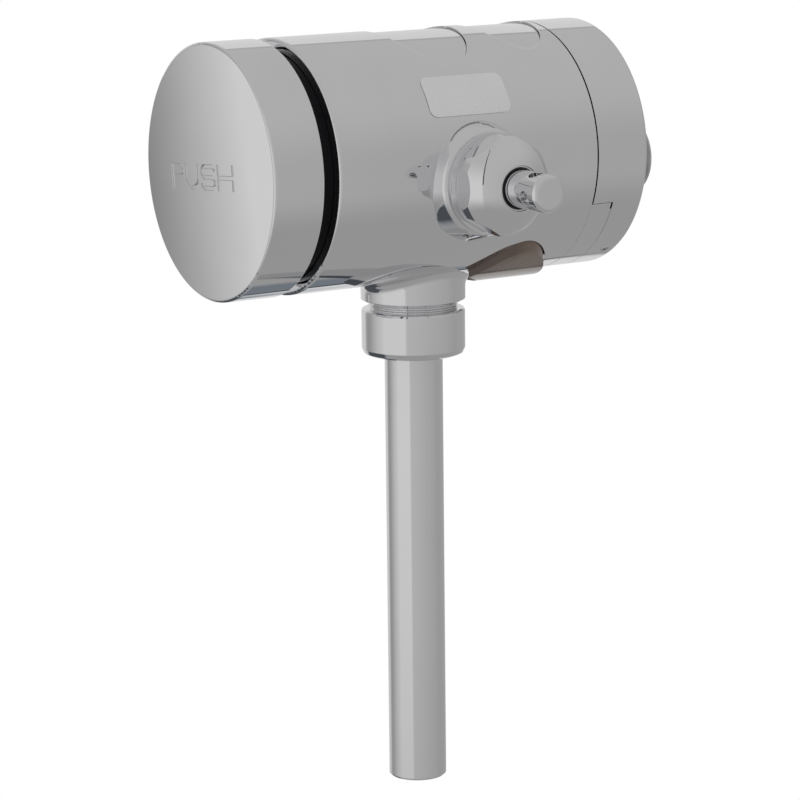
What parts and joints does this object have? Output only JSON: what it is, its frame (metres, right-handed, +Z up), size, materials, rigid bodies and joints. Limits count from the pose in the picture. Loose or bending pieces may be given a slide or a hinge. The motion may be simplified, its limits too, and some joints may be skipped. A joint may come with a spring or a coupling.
{
  "type": "urinal flush valve",
  "caption": "Wall-fed round urinal flush valve with a large push button, a side stop valve, a sensor window and a straight flush pipe.",
  "frame": {"origin": "on the axis of the inlet nipple, in the plane of the wall, where the packing ring meets it", "axes": "+Y points into the wall along the inlet nipple, -Y is the push button towards the user, +X is the stop valve side, +Z is up"},
  "size_m": [0.0993, 0.1368, 0.2089],
  "materials": {
    "chrome": "polished chrome plate",
    "brass": "machined brass",
    "stainless": "drawn or turned stainless steel",
    "copper": "drawn copper",
    "black_plastic": "glossy black",
    "black_rubber": "matt black rubber",
    "smoked_plastic": "smoked brown, glossy",
    "green_board": "solder resist",
    "grey_plastic": "matt grey",
    "battery_wrap": "blue shrink wrap",
    "label": "satin silver"
  },
  "bodies": {
    "valve_body": {"battery_case": "grey_plastic", "battery_pack": "battery_wrap", "body": "chrome", "bonnet_washer": "chrome", "breaker_cage": "grey_plastic", "bulkhead": "grey_plastic", "bulkhead_screws": "stainless", "button_sleeve": "black_plastic", "button_spring": "stainless", "cap_oring": "black_rubber", "control_board": "green_board", "end_cap": "chrome", "flush_pipe": "chrome", "front_cover": "chrome", "grub_screws": "stainless", "inlet_nipple": "chrome", "inlet_packing": "black_rubber", "inlet_strainer": "stainless", "label_plate": "label", "outlet_nut": "chrome", "outlet_packing": "black_rubber", "piston_cap": "brass", "piston_spring": "stainless", "plunger_spring": "stainless", "rear_cover": "chrome", "relief_block": "brass", "relief_oring": "black_rubber", "relief_tube": "copper", "retaining_band": "chrome", "seat_ring": "brass", "sensor_board": "green_board", "sensor_eyes": "smoked_plastic", "sensor_window": "smoked_plastic", "slip_ring": "brass", "solenoid_coil": "black_plastic", "solenoid_core": "stainless", "stop_bonnet": "chrome", "window_holder": "black_plastic"},
    "button": {"push_button": "chrome", "button_stem": "stainless", "stem_clip": "stainless", "relief_rod": "stainless", "relief_washer": "black_rubber"},
    "piston_group": {"piston": "brass", "piston_cup": "black_rubber", "piston_washer": "black_rubber"},
    "flow_screw_group": {"flow_screw": "stainless"},
    "lift_stop_group": {"lift_stop": "brass"},
    "spindle_group": {"stop_spindle": "chrome", "spindle_oring": "black_rubber"},
    "plug_group": {"stop_plug": "brass", "stop_washer": "black_rubber"},
    "plunger_group": {"plunger": "stainless"},
    "breaker_group": {"breaker_disc": "black_rubber"}
  },
  "joints": [
    {"name": "button_push", "type": "slide", "parent": "valve_body", "child": "button", "axis": [0, 1, 0], "range_m": [0, 0.004], "stiffness_N_per_m": 400, "springref_m": -0.004, "deforming": ["button_spring"]},
    {"name": "piston_lift", "type": "slide", "parent": "valve_body", "child": "piston_group", "axis": [0, 0, 1], "range_m": [0, 0.006], "stiffness_N_per_m": 150, "springref_m": -0.006, "deforming": ["piston_spring"]},
    {"name": "flow_screw_turn", "type": "hinge", "parent": "valve_body", "child": "flow_screw_group", "pos_m": [0, -0.0566, 0.0258], "axis": [0, 0, 1], "range_deg": [0, 1440]},
    {"name": "lift_stop_slide", "type": "slide", "parent": "valve_body", "child": "lift_stop_group", "axis": [0, 0, -1], "range_m": [0, 0.004]},
    {"name": "spindle_turn", "type": "hinge", "parent": "valve_body", "child": "spindle_group", "pos_m": [0.04, -0.0563, 0.0022], "axis": [1, 0, 0], "range_deg": [0, 1080]},
    {"name": "stop_plug_slide", "type": "slide", "parent": "valve_body", "child": "plug_group", "axis": [-1, 0, 0], "range_m": [0, 0.0045]},
    {"name": "plunger_lift", "type": "slide", "parent": "valve_body", "child": "plunger_group", "axis": [0, 0, 1], "range_m": [0, 0.0012], "stiffness_N_per_m": 60, "springref_m": -0.002, "deforming": ["plunger_spring"]},
    {"name": "breaker_lift", "type": "slide", "parent": "valve_body", "child": "breaker_group", "axis": [0, 0, 1], "range_m": [0, 0.004]}
  ],
  "couplings": [
    {"joint": "flow_screw_turn", "follows": "lift_stop_slide", "rad_per_m": 6283.2},
    {"joint": "spindle_turn", "follows": "stop_plug_slide", "rad_per_m": 4188.8}
  ]
}
